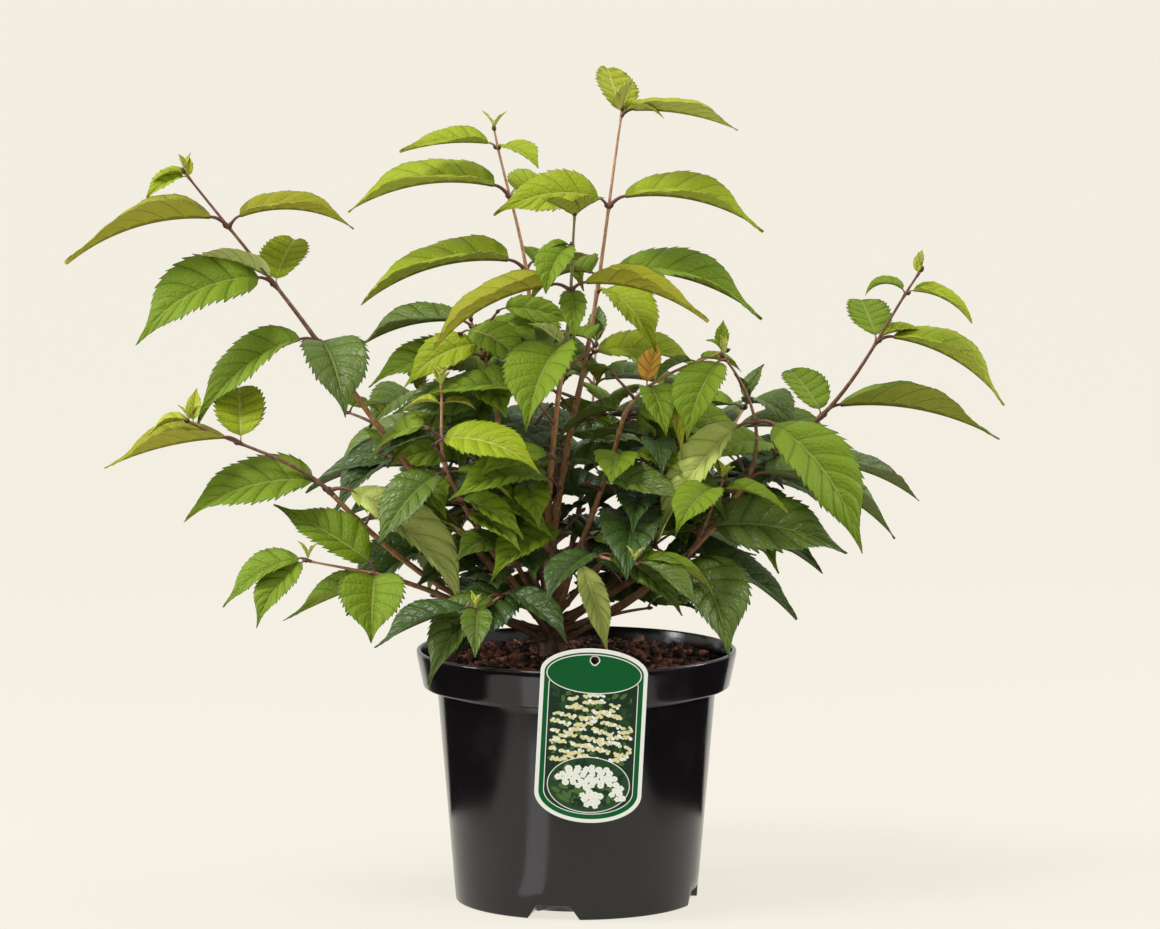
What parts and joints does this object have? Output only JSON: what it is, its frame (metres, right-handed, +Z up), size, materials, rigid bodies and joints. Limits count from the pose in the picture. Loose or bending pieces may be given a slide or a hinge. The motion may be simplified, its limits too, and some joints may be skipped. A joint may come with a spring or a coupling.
{
  "type": "potted viburnum shrub",
  "caption": "Young snowball viburnum shrub, not in blossom, with toothed leaves in opposite pairs on slender stems, growing in a round black nursery pot with a care label on the rim.",
  "frame": {"origin": "the middle of the pot's flat underside, on the surface the pot stands on", "axes": "+Z up; the care label faces -Y; +X to the right when the label faces the viewer"},
  "size_m": [0.5527, 0.2973, 0.4915],
  "materials": {
    "pot_plastic": "glossy black moulded",
    "soil": "dark loose peat with bark chips",
    "label_plastic": "printed plastic card, green with a white border",
    "bark": "smooth tan to red-brown young bark",
    "leaf": "matt pleated leaf with toothed edge"
  },
  "bodies": {
    "root": {"pot": "pot_plastic", "potting_soil": "soil", "care_label": "label_plastic", "trunk": "bark", "leader_bough": "bark", "left_leader_bough": "bark", "centre_bough": "bark", "left_upper_bough": "bark", "right_outer_bough": "bark", "right_upper_bough": "bark", "right_middle_bough": "bark", "left_middle_bough": "bark", "left_low_bough": "bark", "right_low_bough": "bark", "left_inner_bough": "bark", "left_high_bough": "bark", "right_inner_bough": "bark", "left_core_bough": "bark", "right_core_bough": "bark", "left_front_bough": "bark", "right_front_bough": "bark", "back_left_bough": "bark", "back_bough": "bark", "back_right_bough": "bark", "back_low_bough": "bark", "left_side_bough": "bark", "right_side_bough": "bark", "leader_foliage": "leaf", "left_leader_foliage": "leaf", "centre_foliage": "leaf", "left_upper_foliage": "leaf", "left_middle_foliage": "leaf", "left_low_foliage": "leaf", "right_upper_foliage": "leaf", "right_middle_foliage": "leaf", "right_low_foliage": "leaf", "right_outer_foliage": "leaf", "left_inner_foliage": "leaf", "left_high_foliage": "leaf", "right_inner_foliage": "leaf", "left_core_foliage": "leaf", "right_core_foliage": "leaf", "left_front_foliage": "leaf", "right_front_foliage": "leaf", "back_left_foliage": "leaf", "back_foliage": "leaf", "back_right_foliage": "leaf", "back_low_foliage": "leaf", "left_side_foliage": "leaf", "right_side_foliage": "leaf"}
  },
  "joints": []
}
